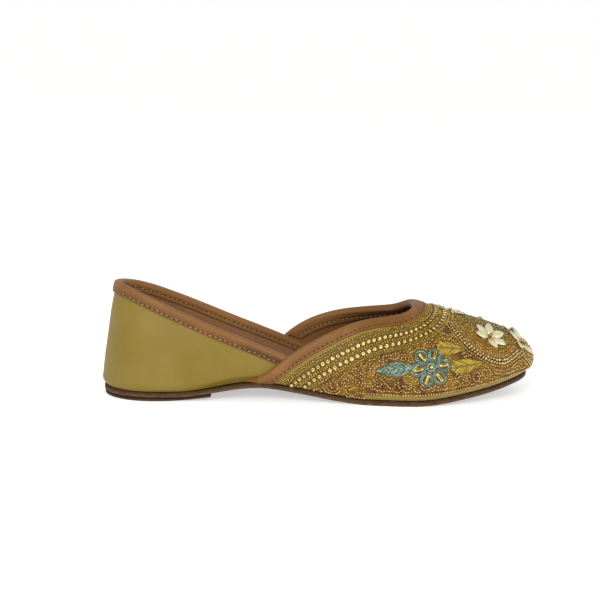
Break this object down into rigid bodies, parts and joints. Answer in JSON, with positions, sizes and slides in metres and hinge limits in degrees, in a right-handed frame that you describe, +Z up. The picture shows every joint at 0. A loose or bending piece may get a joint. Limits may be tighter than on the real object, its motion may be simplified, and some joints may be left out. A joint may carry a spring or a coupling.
{
  "type": "embroidered flat shoe",
  "caption": "Flat slip-on shoe with a beaded vamp crossed over a plain leather quarter, bound toplines, insole, thin leather sole and low heel lift.",
  "frame": {"origin": "on the floor, under the middle of the shoe's box", "axes": "+X to the toe, +Y to the inner side of the foot, +Z up"},
  "size_m": [0.25, 0.0862, 0.0646],
  "materials": {
    "sole_leather": "dark brown, dull, with a worn cut edge",
    "lift_leather": "dark grey-brown, stacked and scuffed",
    "lining_leather": "tan, smooth and matt",
    "quarter_leather": "olive gold, smooth, satin",
    "vamp_cloth": "gold cloth covered with beads, sequins and silk stitches",
    "binding_leather": "tan, fine grained, stitched"
  },
  "bodies": {
    "root": {"outsole": "sole_leather", "heel_lift": "lift_leather", "insole": "lining_leather", "quarter": "quarter_leather", "vamp": "vamp_cloth", "quarter_binding": "binding_leather", "vamp_binding": "binding_leather"}
  },
  "joints": []
}
